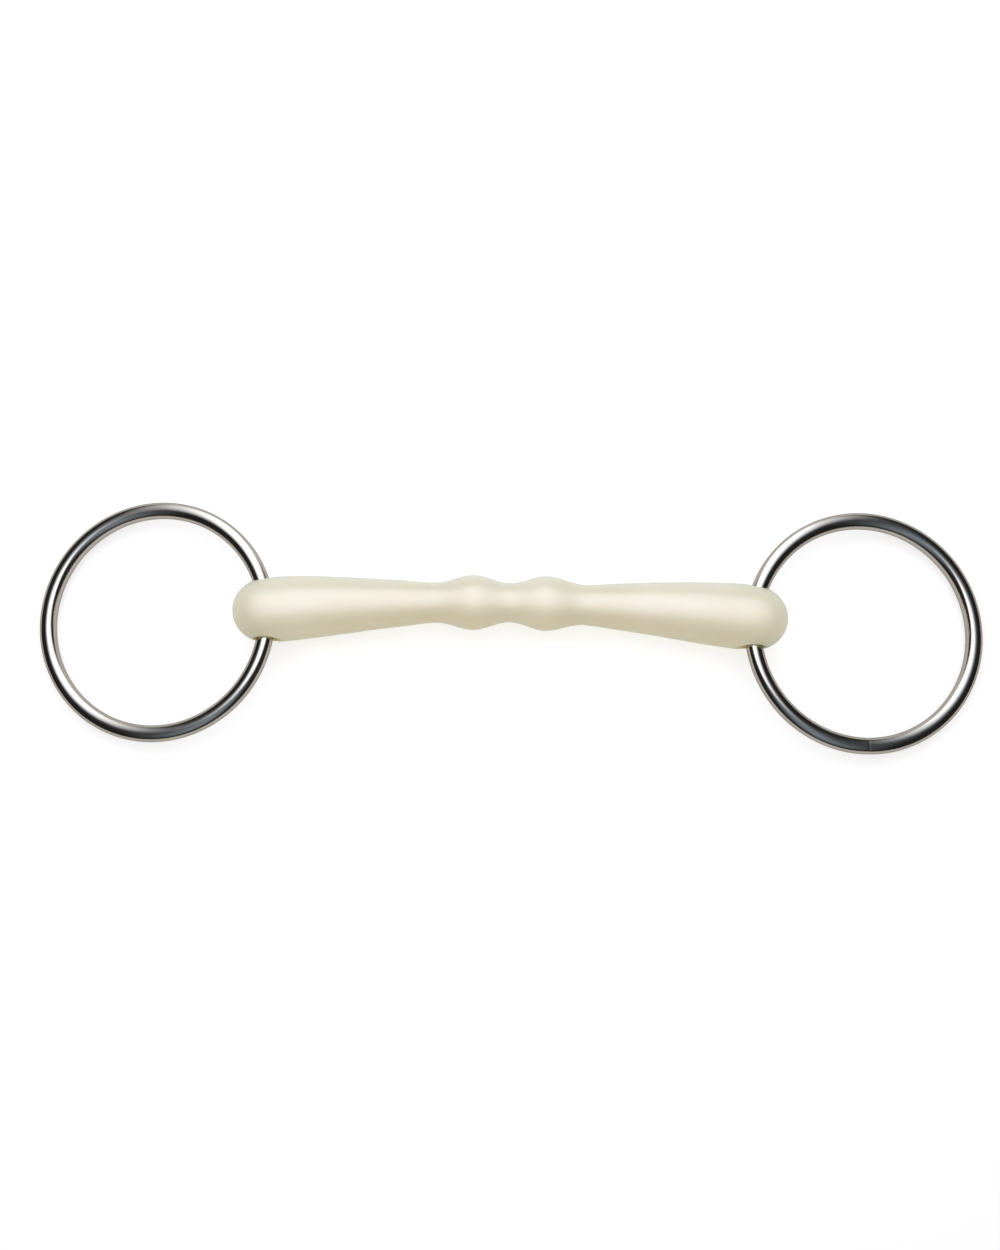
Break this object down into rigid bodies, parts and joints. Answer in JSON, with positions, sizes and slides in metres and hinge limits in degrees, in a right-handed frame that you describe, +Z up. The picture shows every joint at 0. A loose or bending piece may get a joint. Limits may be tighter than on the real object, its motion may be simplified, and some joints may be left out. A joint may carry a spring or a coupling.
{
  "type": "snaffle bit",
  "caption": "Loose-ring snaffle bit: an arched plastic mouthpiece with middle ridges, moulded on a steel core, and round wire rings that swing and slide in its ends.",
  "frame": {"origin": "under the middle of the whole bit, on the surface that it rests on", "axes": "+X along the mouthpiece to the right ring, +Y across it towards the crown of its arch, +Z up"},
  "size_m": [0.2732, 0.07, 0.0189],
  "materials": {
    "mouth_plastic": "smooth satin-gloss cream plastic",
    "core_steel": "plain drawn and turned stainless steel",
    "sleeve_steel": "turned stainless steel",
    "ring_steel": "polished stainless steel"
  },
  "bodies": {
    "mouthpiece": {"mouthpiece": "mouth_plastic", "core_rod": "core_steel", "left_eye": "core_steel", "right_eye": "core_steel"},
    "left_sleeve": {"left_sleeve": "sleeve_steel"},
    "left_ring": {"left_ring": "ring_steel"},
    "right_sleeve": {"right_sleeve": "sleeve_steel"},
    "right_ring": {"right_ring": "ring_steel"}
  },
  "joints": [
    {"name": "left_swing", "type": "hinge", "parent": "mouthpiece", "child": "left_sleeve", "pos_m": [-0.0699, 0.00303, 0.00945], "axis": [-0.0945, 0.9955, 0], "range_deg": [-164.7, 177.2]},
    {"name": "left_spin", "type": "hinge", "parent": "left_sleeve", "child": "left_ring", "pos_m": [-0.10181, 0, 0.00594], "axis": [-0.1082, -0.0103, 0.9941], "continuous": true},
    {"name": "right_swing", "type": "hinge", "parent": "mouthpiece", "child": "right_sleeve", "pos_m": [0.0699, 0.00303, 0.00945], "axis": [-0.0945, -0.9955, 0], "range_deg": [-164.7, 177.2]},
    {"name": "right_spin", "type": "hinge", "parent": "right_sleeve", "child": "right_ring", "pos_m": [0.10181, 0, 0.00594], "axis": [0.1082, -0.0103, 0.9941], "continuous": true}
  ]
}
